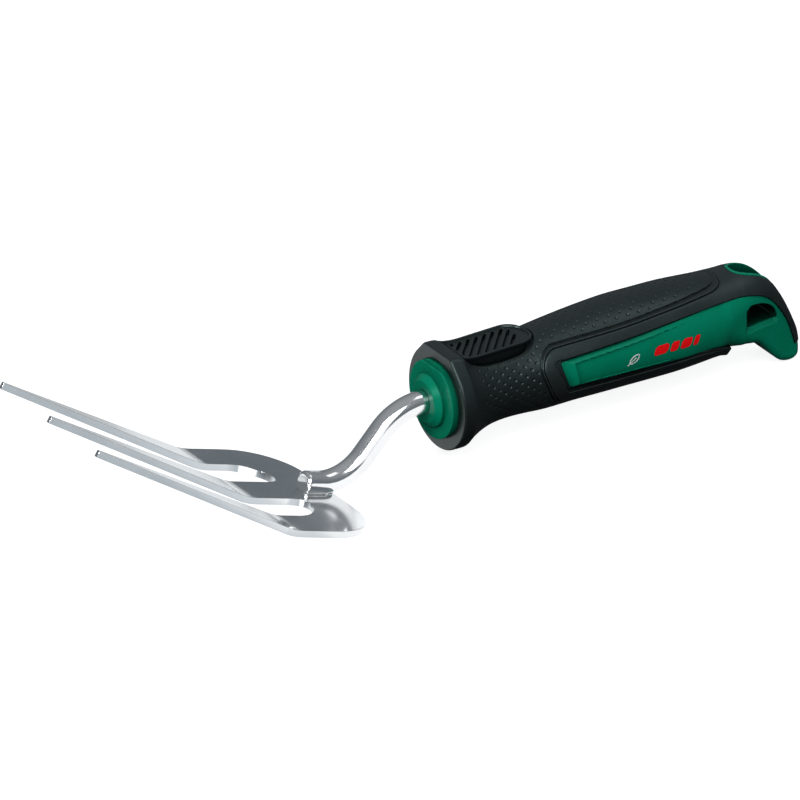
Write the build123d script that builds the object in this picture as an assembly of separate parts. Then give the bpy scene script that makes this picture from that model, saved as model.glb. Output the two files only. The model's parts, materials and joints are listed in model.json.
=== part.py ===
from build123d import *
import os
from math import cos, sin, tan, radians, sqrt

os.makedirs("parts", exist_ok=True)

# Three-tine hand fork: stamped steel head, bent round tang, two-component moulded handle.
# Working frame while modelling, in millimetres: +X runs back along the handle axis from the
# point where the tang enters the handle, +Z is up (thumb side), +Y is across.
# At the end every piece is turned and moved together into the rest frame.

# ---- driving dimensions -------------------------------------------------------------------
sheet_t = 2.5            # fork sheet thickness
head_w = 76.4            # width over the outer tines
heel_r = 20.6            # rear corner radius of the heel
heel_half_flat = 17.5    # half length of the straight rear edge
slot_in = 7.7            # inner side of each slot (half width of the middle tine)
slot_out = 23.7          # outer side of each slot
tine_tip_y = 31.5        # centre of an outer tine at its tip
tine_tip_w = 1.6         # tip width
bend_x = 38.8            # heel edge to bend line
bend_r = 26.75           # inside bend radius
bend_deg = 16.8          # tines against heel plate
tine_len = 88.8          # bend line to tip
plate_deg = 15.3         # heel plate against handle axis
plate_x, plate_z = -37.6, -24.7   # middle of the rear edge, top face

rod_d = 8.5              # tang rod
rod_path = [(-49.0, -18.5), (-32.4, -23.0), (-10.9, 0.0), (84.0, 0.0)]
rod_r1, rod_r2 = 19.0, 22.0
weld_leg = 2.7           # fillet weld round the rod's foot

collar_r = 9.6           # raised collar on the front disc
collar_face_r = 7.6
disc_r = 14.2            # front disc
disc_flat_z = 12.7       # its flat top
disc_x0, disc_x1 = 3.1, 9.0
flange_flat_z = 18.1     # flat top of the grip's front flange
skin_t = 2.6             # overmould thickness

# handle body: station, radius, centre height
body = [(5.5, 18.3, 0.0), (7.0, 18.8, 0.0), (9.6, 18.7, 0.0), (11.6, 17.8, 0.0), (14.5, 16.4, 0.1),
        (18.6, 14.9, 0.3), (23.0, 14.0, 0.6), (29.0, 13.65, 0.9), (35.5, 14.0, 1.3), (44.7, 15.0, 2.0),
        (56.8, 15.6, 3.0), (67.4, 16.1, 3.6), (77.8, 16.4, 4.05), (88.5, 16.4, 4.1), (98.7, 16.3, 4.2),
        (108.9, 15.7, 4.3), (117.6, 15.0, 4.4)]
split_x = 117.0          # where the round body passes into the hook

# hook and rear end in side view
rear_top = [(112.0, 19.8), (120.0, 19.6), (125.0, 19.8), (128.0, 19.5), (131.0, 18.8), (134.0, 17.4), (137.0, 15.2), (140.0, 11.7),
            (143.0, 7.0), (145.5, 2.2), (147.5, -2.3), (149.3, -6.9), (150.0, -10.6), (150.2, -14.0)]
rear_tip = [(149.6, -16.8), (147.4, -18.3), (144.0, -18.2), (141.0, -16.9)]
rear_low = [(137.8, -14.0), (134.6, -10.6), (131.6, -7.6), (129.0, -6.6), (125.0, -6.6), (121.5, -7.2), (120.3, -10.3), (112.0, -11.2)]
# half width of the rear end in plan view
rear_half = [(112.0, 15.4), (117.6, 14.9), (122.0, 14.0), (127.0, 12.9), (132.0, 11.8), (138.0, 10.5), (144.0, 9.2), (152.0, 7.8)]

# green region in side view (side panels, hook), and black frame region
green_poly = [(48.0, 6.4), (49.8, 8.2), (79.2, 10.9), (100.3, 12.7), (115.0, 13.4), (124.0, 13.3), (130.4, 11.9), (135.3, 9.1),
              (139.4, 4.6), (143.5, -1.8), (146.2, -9.0), (146.9, -11.6), (160.0, -11.6), (160.0, -30.0), (121.6, -30.0),
              (121.2, -7.4), (119.6, -5.4), (116.3, -3.6), (110.6, -1.9), (103.7, -1.9), (79.1, -2.5), (51.8, -2.3)]
frame_poly = [(52.0, -25.0), (50.6, -10.0), (45.3, -4.0), (41.4, 5.1), (41.1, 7.3), (42.4, 10.2), (44.5, 11.9), (47.0, 12.7),
              (71.2, 14.2), (102.2, 16.3), (113.4, 16.9), (117.2, 17.8), (119.2, 19.2), (119.6, 30.0), (160.0, 30.0), (160.0, -25.0)]

# hang hole (D shape) and top pocket
hole_pts = [(124.2, 0.2), (124.2, 8.6), (125.2, 9.5), (131.3, 8.8), (135.2, 7.0), (137.7, 4.4), (138.6, 1.4), (138.0, 0.2)]
pocket_x, pocket_rx, pocket_ry = 132.2, 7.2, 4.6
strap_open_rx, strap_open_ry = 8.7, 6.0
pocket_z = 12.6          # floor of the pocket

# thumb rest
thumb_x0, thumb_x1, thumb_half = 12.3, 42.4, 8.0
thumb_top = [(12.3, 16.9), (17.0, 16.4), (24.0, 16.6), (32.0, 17.0), (38.0, 17.2), (42.4, 16.7)]
groove_n, groove_w, groove_pitch = 9, 1.1, 2.75

rest_deg = 2.70          # turn about Y that sets heel and hook tip on one level


# ---- helpers ------------------------------------------------------------------------------
def side_face(pts):
    return make_face(Polyline([(x, 0, z) for x, z in pts], close=True))


def prism(pts, half=60.0):
    return extrude(side_face(pts), amount=half, dir=(0, 1, 0), both=True)


def plan_prism(pts, z0, z1):
    f = make_face(Polyline([(x, y, z0) for x, y in pts], close=True))
    return extrude(f, amount=z1 - z0, dir=(0, 0, 1))


def rings(stations, grow=0.0):
    return loft([make_face(Plane(origin=(x, 0, z), x_dir=(0, 1, 0), z_dir=(1, 0, 0)) * Circle(r + grow).edge()) for x, r, z in stations])


def one(shape):
    s = shape.solids() if hasattr(shape, "solids") else shape
    s = sorted(s, key=lambda q: -q.volume)
    return s[0]


# ---- fork head ----------------------------------------------------------------------------
a = radians(bend_deg)
bx = -bend_x + bend_r * tan(a / 2)
tip = (-bend_x - tine_len * cos(a), tine_len * sin(a))
ca, sa = cos(a), sin(a)
arc_mid = lambda r: (bx - r * sin(a / 2), bend_r - r * cos(a / 2))
arc_end = lambda r: (bx - r * sa, bend_r - r * ca)
p3 = lambda q: (q[0], 0, q[1])
top_end, low_end = arc_end(bend_r), arc_end(bend_r + sheet_t)
tip_low = (tip[0] - sheet_t * sa, tip[1] - sheet_t * ca)
profile = [
    Line((0, 0, 0), (bx, 0, 0)),
    ThreePointArc((bx, 0, 0), p3(arc_mid(bend_r)), p3(top_end)),
    Line(p3(top_end), p3(tip)),
    Line(p3(tip), p3(tip_low)),
    Line(p3(tip_low), p3(low_end)),
    ThreePointArc(p3(low_end), p3(arc_mid(bend_r + sheet_t)), (bx, 0, -sheet_t)),
    Line((bx, 0, -sheet_t), (0, 0, -sheet_t)),
    Line((0, 0, -sheet_t), (0, 0, 0)),
]
strip = extrude(make_face(Wire(profile)), amount=head_w / 2 + 2, dir=(0, 1, 0), both=True)

hw = head_w / 2
L = tip[0] - 5
tip_k = lambda y0, y1: y0 + (y1 - y0) * (L + 42.0) / (tip[0] + 42.0)
hy = heel_half_flat
outer = [
    Line((0, -hy, 0), (0, hy, 0)),
    ThreePointArc((0, hy, 0), (-heel_r * (1 - sin(radians(45))), hy + heel_r * sin(radians(45)), 0), (-heel_r, hy + heel_r, 0)),
    Line((-heel_r, hy + heel_r, 0), (-42, hw, 0)),
    Line((-42, hw, 0), (L, tip_k(hw, tine_tip_y + tine_tip_w / 2), 0)),
    Line((L, tip_k(hw, tine_tip_y + tine_tip_w / 2), 0), (L, -tip_k(hw, tine_tip_y + tine_tip_w / 2), 0)),
    Line((L, -tip_k(hw, tine_tip_y + tine_tip_w / 2), 0), (-42, -hw, 0)),
    Line((-42, -hw, 0), (-heel_r, -hy - heel_r, 0)),
    ThreePointArc((-heel_r, -hy - heel_r, 0), (-heel_r * (1 - sin(radians(45))), -hy - heel_r * sin(radians(45)), 0), (0, -hy, 0)),
]
plan = extrude(make_face(Wire(outer)), amount=80, dir=(0, 0, 1), both=True)
yo, yi = tip_k(slot_out + 0.1, tine_tip_y - tine_tip_w / 2), tip_k(slot_in, tine_tip_w / 2)
slots = []
for s in (1, -1):
    eye = Spline([(-27, s * slot_out, 0), (-23.5, s * 22.6, 0), (-20.0, s * 19.8, 0), (-17.2, s * 16.0, 0), (-16.0, s * 12.0, 0),
                  (-17.0, s * 9.2, 0), (-21.5, s * slot_in, 0)], tangents=[(1, 0, 0), (-1, 0, 0)])
    edges = [
        Line((L - 3, s * yo, 0), (-42, s * (slot_out + 0.1), 0)),
        Line((-42, s * (slot_out + 0.1), 0), (-27, s * slot_out, 0)),
        eye,
        Line((-21.5, s * slot_in, 0), (-42, s * slot_in, 0)),
        Line((-42, s * slot_in, 0), (L - 3, s * yi, 0)),
        Line((L - 3, s * yi, 0), (L - 3, s * yo, 0)),
    ]
    slots.append(extrude(make_face(Wire(edges)), amount=80, dir=(0, 0, 1), both=True))
plate_loc = Location((plate_x, 0, plate_z), (0, plate_deg, 0))
fork_head = one(plate_loc * ((strip & plan) - slots[0] - slots[1]))

# ---- tang rod -----------------------------------------------------------------------------
path = FilletPolyline([(x, 0, z) for x, z in rod_path], radius=[rod_r1, rod_r2])
d0 = Vector(rod_path[1][0] - rod_path[0][0], 0, rod_path[1][1] - rod_path[0][1]).normalized()
section = Plane(origin=(rod_path[0][0], 0, rod_path[0][1]), x_dir=(0, 1, 0), z_dir=d0) * Circle(rod_d / 2)
rod = sweep(section, path=path)
rod = rod - plate_loc * (Pos(-20, 0, -10) * Box(120, 40, 20))
# anti-turn flats near the buried end
for s in (1, -1):
    rod = rod - Pos(66, s * (3.35 + 2), 0) * Box(16, 4, 12)
tang_rod = one(rod)

# ---- weld bead round the foot -------------------------------------------------------------
fx0, fx1 = -11.9, -2.2
bead_in = rod_d / 2 - 0.6
foot = loft([
    make_face((Pos((fx0 + fx1) / 2, 0, 0) * RectangleRounded(fx1 - fx0 + 2 * weld_leg, 2 * (bead_in + weld_leg), 2.6)).wire()),
    make_face((Pos((fx0 + fx1) / 2, 0, weld_leg) * RectangleRounded(fx1 - fx0 + 0.8, 2 * bead_in + 0.8, 0.35)).wire()),
])
foot_weld = one(plate_loc * foot - tang_rod)

# ---- handle body --------------------------------------------------------------------------
round_outer = rings(body)
round_inner = rings([(9.0, 14.6, 0.0), (11.6, 14.4, 0.0), (14.5, 13.4, 0.1)] + [(x, r - skin_t, z) for x, r, z in body[5:]])
flange_cut = Pos(8, 0, flange_flat_z + 10) * Box(11, 60, 20)
round_outer = round_outer - flange_cut

rear_side = prism(rear_top + rear_tip + rear_low, 30)
plan_pts = [(x, y) for x, y in rear_half] + [(x, -y) for x, y in reversed(rear_half)]
rear_plan = plan_prism(plan_pts, -40, 40)
rear_block = one(rear_side & rear_plan)
# round the four long corners of the rear end by a tapering many-sided rounding
rear_round = loft([
    make_face((Plane(origin=(x, 0, zc), x_dir=(0, 1, 0), z_dir=(1, 0, 0)) * RectangleRounded(2 * y, 2 * hz, rr)).wire())
    for x, y, zc, hz, rr in [(112.0, 15.6, 4.4, 15.7, 15.0), (120.0, 14.4, 4.6, 15.2, 13.0), (127.0, 13.0, 3.0, 17.0, 9.5),
                             (134.0, 11.5, -1.0, 18.8, 7.0), (142.0, 9.8, -5.5, 18.5, 5.0), (152.0, 7.9, -10.0, 18.0, 4.0)]
])
rear_outer = one(rear_block & rear_round) - Pos(split_x - 20, 0, 0) * Box(40, 80, 80)
rear_in_side = prism([(112.0, 17.0), (120.0, 16.8), (126.0, 16.8), (130.5, 15.6), (134.5, 13.0), (138.3, 8.6), (141.6, 2.6), (144.6, -4.2),
                      (146.0, -9.0), (146.4, -13.0), (145.0, -15.0), (141.5, -14.8), (136.0, -9.6), (131.5, -5.2), (129.0, -4.4), (120.0, -5.0), (118.0, -8.0), (112.0, -8.6)], 30)
rear_in_plan = plan_prism([(x, y - 2.6) for x, y in rear_half] + [(x, -y + 2.6) for x, y in reversed(rear_half)], -40, 40)
rear_inner = one(rear_in_side & rear_in_plan & rear_round) - Pos(split_x - 20, 0, 0) * Box(40, 80, 80)

front_half = Pos(split_x - 100, 0, 0) * Box(200, 90, 90)
round_outer = one(round_outer & front_half)
round_inner = one(round_inner & front_half)
outer_all = one(round_outer + rear_outer)
inner_all = one(round_inner + rear_inner)

green = prism(green_poly)
frame_reg = prism(frame_poly)
hole_face = prism(hole_pts, 30)
ell = lambda rx, ry, z0, z1: extrude(make_face(Pos(pocket_x, 0, z0) * Ellipse(rx, ry).edge()), amount=z1 - z0, dir=(0, 0, 1))
pocket = ell(pocket_rx, pocket_ry, pocket_z, 40)
strap_open = ell(strap_open_rx, strap_open_ry, pocket_z - 3, 40)

disc_zone = Pos(disc_x1 / 2, 0, 0) * Rot(0, 90, 0) * Cylinder(disc_r + 0.05, disc_x1)

core = (outer_all & green) + inner_all
core = core + (outer_all & strap_open)
core = core - (Pos(-1, 0, 0) * Box(20, 90, 90)) - hole_face - pocket - tang_rod
handle_core = one(core)

shell_all = outer_all - handle_core - inner_all - green - strap_open - hole_face - tang_rod
grip_frame = one(shell_all & frame_reg)
soft = shell_all - frame_reg - disc_zone
soft_grip = one(soft)

# ---- front collar -------------------------------------------------------------------------
disc = Pos((disc_x0 + disc_x1) / 2, 0, 0) * Rot(0, 90, 0) * Cylinder(disc_r, disc_x1 - disc_x0)
disc = disc - Pos(0, 0, disc_flat_z + 10) * Box(40, 60, 20)
cone = Pos(0.9, 0, 0) * Rot(0, 90, 0) * Cone(collar_face_r, collar_r, 1.8) + Pos(2.5, 0, 0) * Rot(0, 90, 0) * Cylinder(collar_r, 1.4)
front_collar = one(disc + cone - tang_rod - handle_core - soft_grip)

# ---- thumb rest ---------------------------------------------------------------------------
tside = prism([(thumb_x0, 5.0)] + thumb_top + [(thumb_x1, 5.0)], thumb_half)
r_end = 7.6
tplan = plan_prism([(thumb_x0, -thumb_half), (thumb_x1 - r_end, -thumb_half)]
                   + [(thumb_x1 - r_end + r_end * sin(radians(t)), -thumb_half * cos(radians(t))) for t in range(10, 180, 10)]
                   + [(thumb_x1 - r_end, thumb_half), (thumb_x0, thumb_half)], 0, 40)
pad = tside & tplan
for i in range(groove_n):
    gx = 16.0 + i * groove_pitch
    half = 5.4 if 0 < i < groove_n - 1 else 3.2
    pad = pad - Pos(gx, 0, 17.6) * Rot(0, 0, -28) * Box(groove_w, 2 * half, 3.4)
thumb_rest = one(pad - outer_all)

# ---- rest frame ---------------------------------------------------------------------------
rest = Rot(0, rest_deg, 0)
nodes = {
    "fork_head": fork_head, "tang_rod": tang_rod, "foot_weld": foot_weld, "handle_core": handle_core,
    "front_collar": front_collar, "grip_frame": grip_frame, "soft_grip": soft_grip, "thumb_rest": thumb_rest,
}
shift = (0.2969, 0.0, 25.279)   # puts the origin under the middle of the whole piece, on the surface it rests on
for name, shape in nodes.items():
    moved = Pos(*shift) * rest * shape
    print(name, round(moved.volume), moved.bounding_box())
    export_step(moved, f"parts/{name}.step")
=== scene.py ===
"""Three-tine hand fork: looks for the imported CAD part. Lengths in millimetres in the handle's own frame
(+X back along the handle axis, +Z thumb side, +Y across), put in the part's rest frame in metres at the end."""

import json
import math

import bmesh
import bpy
import numpy as np
from mathutils import Matrix, Vector

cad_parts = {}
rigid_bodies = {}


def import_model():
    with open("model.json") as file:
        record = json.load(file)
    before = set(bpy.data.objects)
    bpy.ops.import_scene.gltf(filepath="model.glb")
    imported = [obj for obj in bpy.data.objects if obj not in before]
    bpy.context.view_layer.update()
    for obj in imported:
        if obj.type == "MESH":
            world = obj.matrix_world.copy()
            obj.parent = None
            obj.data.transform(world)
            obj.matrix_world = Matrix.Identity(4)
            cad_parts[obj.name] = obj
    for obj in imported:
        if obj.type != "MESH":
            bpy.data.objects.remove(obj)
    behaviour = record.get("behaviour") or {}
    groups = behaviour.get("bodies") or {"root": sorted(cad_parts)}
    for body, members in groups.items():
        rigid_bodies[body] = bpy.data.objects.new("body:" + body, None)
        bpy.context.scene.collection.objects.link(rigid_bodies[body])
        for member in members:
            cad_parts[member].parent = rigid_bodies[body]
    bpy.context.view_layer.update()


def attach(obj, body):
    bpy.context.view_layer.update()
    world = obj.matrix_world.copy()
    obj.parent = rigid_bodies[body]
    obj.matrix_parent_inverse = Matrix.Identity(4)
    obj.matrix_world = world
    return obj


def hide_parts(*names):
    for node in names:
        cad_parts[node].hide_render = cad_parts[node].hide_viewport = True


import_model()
FINE = 1.0

# ------------------------------------------------------------------ frames
TH = math.radians(2.70)
CT, ST = math.cos(TH), math.sin(TH)


def world(p):
    """Handle frame, mm, to the rest frame, metres."""
    p = np.asarray(p, float)
    q = np.empty_like(p)
    q[..., 0] = p[..., 0] * CT + p[..., 2] * ST + 0.2969
    q[..., 1] = p[..., 1]
    q[..., 2] = -p[..., 0] * ST + p[..., 2] * CT + 25.279
    return q / 1000.0


def world_dir(p):
    p = np.asarray(p, float)
    q = np.empty_like(p)
    q[..., 0] = p[..., 0] * CT + p[..., 2] * ST
    q[..., 1] = p[..., 1]
    q[..., 2] = -p[..., 0] * ST + p[..., 2] * CT
    return q


# ------------------------------------------------------------------ small maths
def rmax(a, b, r):
    return np.minimum(np.maximum(a, b), -r) + np.hypot(np.maximum(a + r, 0), np.maximum(b + r, 0))


def rmin(a, b, r):
    return -rmax(-a, -b, r)


def smooth(a, b, x):
    t = np.clip((x - a) / (b - a), 0, 1)
    return t * t * (3 - 2 * t)


def curve(xs, ys, q):
    """Smooth curve through points, with its slope."""
    xs, ys = np.asarray(xs, float), np.asarray(ys, float)
    m = np.empty_like(ys)
    m[1:-1] = (ys[2:] - ys[:-2]) / (xs[2:] - xs[:-2])
    m[0] = (ys[1] - ys[0]) / (xs[1] - xs[0])
    m[-1] = (ys[-1] - ys[-2]) / (xs[-1] - xs[-2])
    q = np.clip(np.asarray(q), xs[0], xs[-1])
    i = np.clip(np.searchsorted(xs, q, side="right") - 1, 0, len(xs) - 2)
    h = xs[i + 1] - xs[i]
    t = (q - xs[i]) / h
    t2, t3 = t * t, t * t * t
    kind = q.dtype
    v = (2 * t3 - 3 * t2 + 1) * ys[i] + (t3 - 2 * t2 + t) * h * m[i] + (-2 * t3 + 3 * t2) * ys[i + 1] + (t3 - t2) * h * m[i + 1]
    d = ((6 * t2 - 6 * t) * ys[i] + (-6 * t2 + 6 * t) * ys[i + 1]) / h + (3 * t2 - 4 * t + 1) * m[i] + (3 * t2 - 2 * t) * m[i + 1]
    return v.astype(kind), d.astype(kind)


def lerp(xs, ys, q):
    return np.interp(q, xs, ys).astype(q.dtype)


def densify(pts, n=5, keep=()):
    """Closed outline through pts with smooth spans; corners listed in keep stay sharp."""
    p = np.asarray(pts, float)
    k = len(p)
    out = []
    for i in range(k):
        a, b = p[i], p[(i + 1) % k]
        ta = (b - p[i - 1]) / 2 if i not in keep else (b - a)
        tb = (p[(i + 2) % k] - a) / 2 if (i + 1) % k not in keep else (b - a)
        L = np.linalg.norm(b - a)
        for v in (ta, tb):
            s = np.linalg.norm(v)
            if s > L:
                v *= L / s
        for j in range(n):
            t = j / n
            t2, t3 = t * t, t * t * t
            out.append((2 * t3 - 3 * t2 + 1) * a + (t3 - 2 * t2 + t) * ta + (-2 * t3 + 3 * t2) * b + (t3 - t2) * tb)
    return np.array(out)


def poly(pts, X, Z):
    """Signed distance to a closed outline, negative inside."""
    p = np.asarray(pts, float)
    best = np.full(X.shape, 1e9)
    inside = np.zeros(X.shape, bool)
    for i in range(len(p)):
        a, b = p[i - 1], p[i]
        e = b - a
        L = e @ e
        if L < 1e-12:
            continue
        wx, wz = X - a[0], Z - a[1]
        t = np.clip((wx * e[0] + wz * e[1]) / L, 0, 1)
        best = np.minimum(best, (wx - e[0] * t) ** 2 + (wz - e[1] * t) ** 2)
        hit = (a[1] > Z) != (b[1] > Z)
        if abs(e[1]) > 1e-12:
            inside ^= hit & (X < a[0] + (Z - a[1]) * e[0] / e[1])
    d = np.sqrt(best)
    return np.where(inside, -d, d)


def seg(a, b, X, Z):
    """Signed distance to the line a-b, positive on its left."""
    ex, ez = b[0] - a[0], b[1] - a[1]
    L = math.hypot(ex, ez)
    return (ex * (Z - a[1]) - ez * (X - a[0])) / L


LX0, LX1, LZ0, LZ1, LH = -3.0, 155.0, -22.0, 24.0, 0.12
TABLES = {}


def table(name, pts):
    """The outline's distance field on a fine side-view grid, made once."""
    if name not in TABLES:
        gx, gz = np.arange(LX0, LX1, LH), np.arange(LZ0, LZ1, LH)
        X, Z = np.meshgrid(gx, gz, indexing="ij")
        TABLES[name] = poly(pts, X, Z).astype(np.float32)
    return TABLES[name]


def look(t, X, Z):
    u = np.clip((X - LX0) / LH, 0, t.shape[0] - 1.001)
    v = np.clip((Z - LZ0) / LH, 0, t.shape[1] - 1.001)
    i, j = u.astype(np.int32), v.astype(np.int32)
    u, v = u - i, v - j
    return ((t[i, j] * (1 - u) + t[i + 1, j] * u) * (1 - v) + (t[i, j + 1] * (1 - u) + t[i + 1, j + 1] * u) * v).astype(X.dtype)


class Flat:
    """2-D side-view fields, evaluated once per grid column or at scattered points."""

    def __init__(self, x, y, z):
        self.x, self.y, self.z = x, y, z
        if x.ndim == 3:
            self.X = np.broadcast_to(x, (x.shape[0], 1, z.shape[2]))
            self.Z = np.broadcast_to(z, (x.shape[0], 1, z.shape[2]))
        else:
            self.X, self.Z = x, z
        self.memo = {}

    def poly(self, name, pts):
        if name not in self.memo:
            self.memo[name] = look(table(name, pts), self.X, self.Z)
        return self.memo[name]


# ------------------------------------------------------------------ surface mesher
def net(field, lo, hi, h, newton=2, eps=0.06):
    """Closed surface of field(Flat) = 0, with the field's own normals."""
    ax = [np.arange(lo[i] - 1.5 * h, hi[i] + 2.5 * h, h).astype(np.float32) for i in range(3)]
    x, y, z = ax[0][:, None, None], ax[1][None, :, None], ax[2][None, None, :]
    f = np.broadcast_to(field(Flat(x, y, z)), (len(ax[0]), len(ax[1]), len(ax[2]))).astype(np.float32).copy()
    for i in range(3):
        s = [slice(None)] * 3
        for e in (0, -1):
            s[i] = e
            f[tuple(s)] = np.maximum(f[tuple(s)], 0.1)
    s = f < 0
    n = tuple(k - 1 for k in f.shape)
    cnt = np.zeros(n, np.uint8)
    for i in (0, 1):
        for j in (0, 1):
            for k in (0, 1):
                cnt += s[i:i + n[0], j:j + n[1], k:k + n[2]]
    act = (cnt > 0) & (cnt < 8)
    idx = np.full(n, -1, np.int32)
    cells = np.argwhere(act)
    idx[act] = np.arange(len(cells), dtype=np.int32)
    acc = np.zeros((len(cells), 3))
    num = np.zeros(len(cells))
    corner = [(i, j, k) for i in (0, 1) for j in (0, 1) for k in (0, 1)]
    val = {c: f[cells[:, 0] + c[0], cells[:, 1] + c[1], cells[:, 2] + c[2]].astype(float) for c in corner}
    for c in corner:
        for a in range(3):
            if c[a] == 0:
                d = list(c)
                d[a] = 1
                va, vb = val[c], val[tuple(d)]
                m = (va < 0) != (vb < 0)
                t = np.where(m, va / np.where(m, va - vb, 1), 0)
                q = np.zeros((len(cells), 3))
                q[:] = c
                q[:, a] = t
                acc += q * m[:, None]
                num += m
    v = (cells + acc / num[:, None]) * h + np.array([a[0] for a in ax])
    quads = []
    for a in range(3):
        b, c = (a + 1) % 3, (a + 2) % 3
        sl0, sl1 = [slice(None)] * 3, [slice(None)] * 3
        sl0[a], sl1[a] = slice(0, -1), slice(1, None)
        ed = np.argwhere(s[tuple(sl0)] != s[tuple(sl1)])
        ed = ed[(ed[:, b] > 0) & (ed[:, c] > 0) & (ed[:, b] < n[b]) & (ed[:, c] < n[c])]
        ins = s[tuple(ed.T)]
        q = []
        for db, dc in ((-1, -1), (0, -1), (0, 0), (-1, 0)):
            e = ed.copy()
            e[:, b] += db
            e[:, c] += dc
            q.append(idx[tuple(e.T)])
        q = np.stack(q, 1)
        q[~ins] = q[~ins][:, ::-1]
        quads.append(q)
    quads = np.concatenate(quads)
    quads = quads[(quads >= 0).all(1)]

    def ev(p):
        return np.asarray(field(Flat(p[:, 0], p[:, 1], p[:, 2])), float)

    def grad(p, e):
        g = np.empty_like(p)
        for a in range(3):
            o = np.zeros(3)
            o[a] = e
            g[:, a] = (ev(p + o) - ev(p - o)) / (2 * e)
        return g

    for _ in range(newton):
        f0 = ev(v)
        g = np.empty_like(v)
        for a in range(3):
            o = np.zeros(3)
            o[a] = eps
            g[:, a] = (ev(v + o) - f0) / eps
        L2 = np.maximum((g * g).sum(1), 0.2)
        step = np.clip(f0 / L2, -h, h)[:, None] * g
        ln = np.linalg.norm(step, axis=1, keepdims=True)
        v = v - step * np.minimum(1, 0.8 * h / np.maximum(ln, 1e-9))
    g = grad(v, eps * 1.5)
    g /= np.maximum(np.linalg.norm(g, axis=1, keepdims=True), 1e-9)
    return v, quads, g


def mesh_piece(name, v, faces, normals=None, mat=None, uv=None, smooth_faces=True):
    me = bpy.data.meshes.new(name)
    me.vertices.add(len(v))
    me.vertices.foreach_set("co", world(v).astype(np.float32).ravel())
    f = np.asarray(faces, np.int32)
    k = f.shape[1]
    me.loops.add(f.size)
    me.loops.foreach_set("vertex_index", f.ravel())
    me.polygons.add(len(f))
    me.polygons.foreach_set("loop_start", np.arange(0, f.size, k, dtype=np.int32))
    me.update(calc_edges=True)
    me.validate()
    me.polygons.foreach_set("use_smooth", np.full(len(me.polygons), smooth_faces))
    # where each point lies in the handle's own frame, in mm, for the materials
    at = me.attributes.new("handle_mm", "FLOAT_VECTOR", "POINT")
    at.data.foreach_set("vector", np.asarray(v, np.float32).ravel())
    if normals is not None:
        me.normals_split_custom_set_from_vertices(world_dir(normals).astype(np.float32))
    ob = bpy.data.objects.new(name, me)
    bpy.context.scene.collection.objects.link(ob)
    if mat:
        me.materials.append(mat)
    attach(ob, "root")
    return ob


# ------------------------------------------------------------------ handle shape
ST_X = [5.5, 7.0, 9.6, 10.3, 11.6, 14.5, 18.6, 23.0, 29.0, 35.5, 44.7, 56.8, 67.4, 77.8, 88.5, 98.7, 108.9, 117.6, 124.0, 130.0]
ST_R = [18.78, 18.8, 18.78, 18.70, 17.9, 16.4, 14.9, 14.0, 13.65, 14.0, 15.0, 15.6, 16.1, 16.4, 16.4, 16.3, 15.7, 15.0, 14.5, 14.0]
ST_W = [0.0, 0.0, 0.0, 0.0, 0.0, 0.1, 0.3, 0.6, 0.9, 1.3, 2.0, 3.0, 3.6, 4.05, 4.1, 4.2, 4.3, 4.4, 4.4, 4.4]

rear_side = densify([(95, 20.55), (104, 20.3), (112.0, 19.9), (120.0, 19.6), (125.0, 19.7), (128.0, 19.4), (131.0, 18.7), (134.0, 17.35), (137.0, 15.1),
                     (140.0, 11.7), (143.0, 7.0), (145.5, 2.2), (147.5, -2.3), (149.3, -6.9), (150.0, -10.6), (150.2, -14.0),
                     (149.6, -16.8), (147.4, -18.3), (144.0, -18.2), (141.0, -16.9), (137.8, -14.0), (134.6, -10.6), (131.6, -7.8),
                     (129.0, -6.8), (125.0, -6.6), (121.9, -7.0), (119.9, -10.6), (112.0, -11.2), (104, -11.7), (95, -12.1)], 5,
                    keep=(0, 25, 26, 29))
core_side = densify([(95, 20.55), (104, 20.3), (112.0, 19.9), (120.0, 19.6), (125.0, 19.7), (128.0, 19.4), (131.0, 18.7), (134.0, 17.35), (137.0, 15.1),
                     (140.0, 11.7), (143.0, 7.0), (145.5, 2.2), (147.5, -2.3), (149.3, -6.9), (150.0, -10.6), (150.2, -14.0),
                     (149.6, -16.8), (147.4, -18.3), (144.0, -18.2), (141.0, -16.9), (137.8, -14.0), (134.6, -10.6), (131.6, -7.8),
                     (129.0, -6.8), (125.0, -6.75), (120.0, -7.9), (112.0, -9.6), (104, -10.9), (95, -12.1)], 5, keep=(0, 28))
green_side = densify([(48.2, 6.9), (49.8, 8.2), (79.2, 10.9), (100.3, 12.7), (115.0, 13.4), (124.0, 13.3), (130.4, 11.9), (135.3, 9.1),
                      (139.4, 4.6), (143.5, -1.8), (146.2, -9.0), (146.9, -11.6), (160.0, -11.6), (160.0, -30.0), (121.6, -30.0),
                      (121.2, -7.4), (119.6, -5.4), (116.3, -3.6), (110.6, -2.3), (103.7, -2.1), (79.1, -2.4), (52.6, -2.3), (51.2, -1.6)], 4,
                     keep=(2, 11, 12, 13, 14, 15, 20, 21))
frame_side = densify([(52.0, -30.0), (50.6, -10.0), (49.4, -8.4), (45.0, -3.4), (41.5, 4.6), (41.2, 7.3), (42.4, 10.2), (44.5, 11.9), (47.0, 12.7),
                      (71.2, 14.2), (102.2, 16.3), (112.4, 16.9), (116.6, 17.9), (118.6, 19.8), (119.4, 24.0), (119.6, 40.0), (160.0, 40.0), (160.0, -30.0)], 4,
                     keep=(0, 1, 9, 10, 14, 15, 16, 17))
recess_side = densify([(45.4, 7.6), (46.6, 9.0), (49.2, 8.9), (79.2, 11.45), (100.3, 13.05), (115.0, 13.65), (124.0, 13.5), (124.0, -6.0), (116.3, -4.3), (104.0, -2.9),
                       (79.0, -3.35), (52.0, -3.8), (50.3, -3.2)], 4, keep=(2, 3, 4, 6, 7, 9, 10))
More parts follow.
